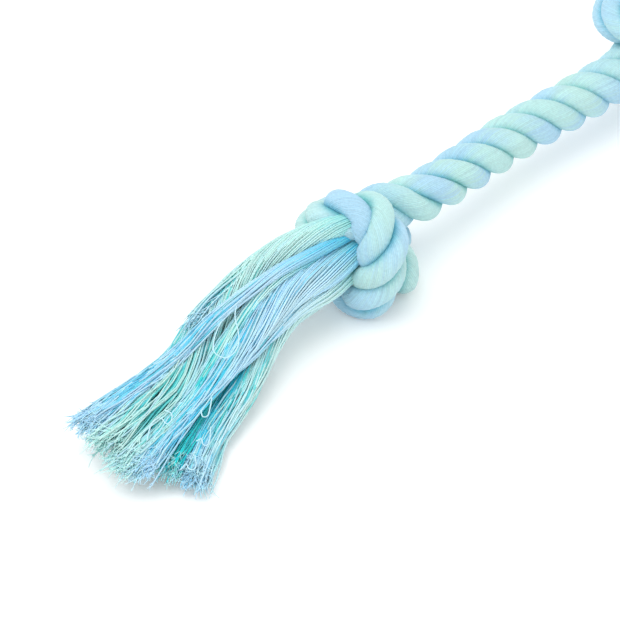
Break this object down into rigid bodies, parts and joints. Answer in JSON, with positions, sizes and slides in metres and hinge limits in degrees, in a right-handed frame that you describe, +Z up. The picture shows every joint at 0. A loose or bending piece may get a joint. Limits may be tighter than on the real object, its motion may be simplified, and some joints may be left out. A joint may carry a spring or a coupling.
{
  "type": "rope dog toy",
  "caption": "Cotton rope tug toy for a dog: three-strand laid rope in sky blue and mint, an overhand knot near each end and the strand ends opened into frayed tassels.",
  "frame": {"origin": "on the surface that the toy lies on, below the middle of its box", "axes": "+X along the rope towards the far knot, +Y across it, +Z up"},
  "size_m": [0.384, 0.072, 0.0398],
  "materials": {
    "sky_cotton": "soft matt cotton yarn",
    "mint_cotton": "soft matt cotton yarn",
    "aqua_cotton": "soft matt cotton yarn"
  },
  "bodies": {
    "near_knot": {"near_knot_strand_1": "sky_cotton", "near_knot_strand_2": "mint_cotton", "near_knot_strand_3": "aqua_cotton"},
    "rope_near": {"rope_near_strand_1": "sky_cotton", "rope_near_strand_2": "mint_cotton", "rope_near_strand_3": "aqua_cotton"},
    "near_tail": {"near_tail_strand_1": "sky_cotton", "near_tail_strand_2": "mint_cotton", "near_tail_strand_3": "aqua_cotton"},
    "near_tassel": {"near_tassel_lock_1": "sky_cotton", "near_tassel_lock_2": "sky_cotton", "near_tassel_lock_3": "sky_cotton", "near_tassel_lock_4": "sky_cotton", "near_tassel_lock_5": "mint_cotton", "near_tassel_lock_6": "mint_cotton", "near_tassel_lock_7": "mint_cotton", "near_tassel_lock_8": "mint_cotton", "near_tassel_lock_9": "aqua_cotton", "near_tassel_lock_10": "aqua_cotton", "near_tassel_lock_11": "aqua_cotton", "near_tassel_lock_12": "aqua_cotton"},
    "far_knot": {"far_knot_strand_1": "sky_cotton", "far_knot_strand_2": "mint_cotton", "far_knot_strand_3": "aqua_cotton"},
    "rope_far": {"rope_far_strand_1": "sky_cotton", "rope_far_strand_2": "mint_cotton", "rope_far_strand_3": "aqua_cotton"},
    "far_tail": {"far_tail_strand_1": "sky_cotton", "far_tail_strand_2": "mint_cotton", "far_tail_strand_3": "aqua_cotton"},
    "far_tassel": {"far_tassel_lock_1": "sky_cotton", "far_tassel_lock_2": "sky_cotton", "far_tassel_lock_3": "sky_cotton", "far_tassel_lock_4": "sky_cotton", "far_tassel_lock_5": "mint_cotton", "far_tassel_lock_6": "mint_cotton", "far_tassel_lock_7": "mint_cotton", "far_tassel_lock_8": "mint_cotton", "far_tassel_lock_9": "aqua_cotton", "far_tassel_lock_10": "aqua_cotton", "far_tassel_lock_11": "aqua_cotton", "far_tassel_lock_12": "aqua_cotton"}
  },
  "joints": [
    {"name": "rope_near_bend", "type": "hinge", "parent": "near_knot", "child": "rope_near", "pos_m": [-0.0367, 0.00019, 0.02048], "axis": [0, 0, 1], "range_deg": [-30, 30]},
    {"name": "rope_twist", "type": "hinge", "parent": "rope_near", "child": "rope_far", "pos_m": [0.0003, 0.00231, 0.01782], "axis": [1, 0, 0], "range_deg": [-45, 45]},
    {"name": "rope_far_bend", "type": "hinge", "parent": "rope_far", "child": "far_knot", "pos_m": [0.0373, 0.00019, 0.01753], "axis": [0, -1, 0], "range_deg": [-30, 30]},
    {"name": "near_tail_swing", "type": "hinge", "parent": "near_knot", "child": "near_tail", "pos_m": [-0.0867, -0.00065, 0.0206], "axis": [0, 0, 1], "range_deg": [-35, 35]},
    {"name": "near_tassel_lift", "type": "hinge", "parent": "near_tail", "child": "near_tassel", "pos_m": [-0.1097, -0.00065, 0.01976], "axis": [0, 1, 0], "range_deg": [-25, 50]},
    {"name": "far_tail_swing", "type": "hinge", "parent": "far_knot", "child": "far_tail", "pos_m": [0.0873, -0.00065, 0.01804], "axis": [0, 0, 1], "range_deg": [-35, 35]},
    {"name": "far_tassel_lift", "type": "hinge", "parent": "far_tail", "child": "far_tassel", "pos_m": [0.1103, -0.00065, 0.01779], "axis": [0, -1, 0], "range_deg": [-25, 50]}
  ]
}
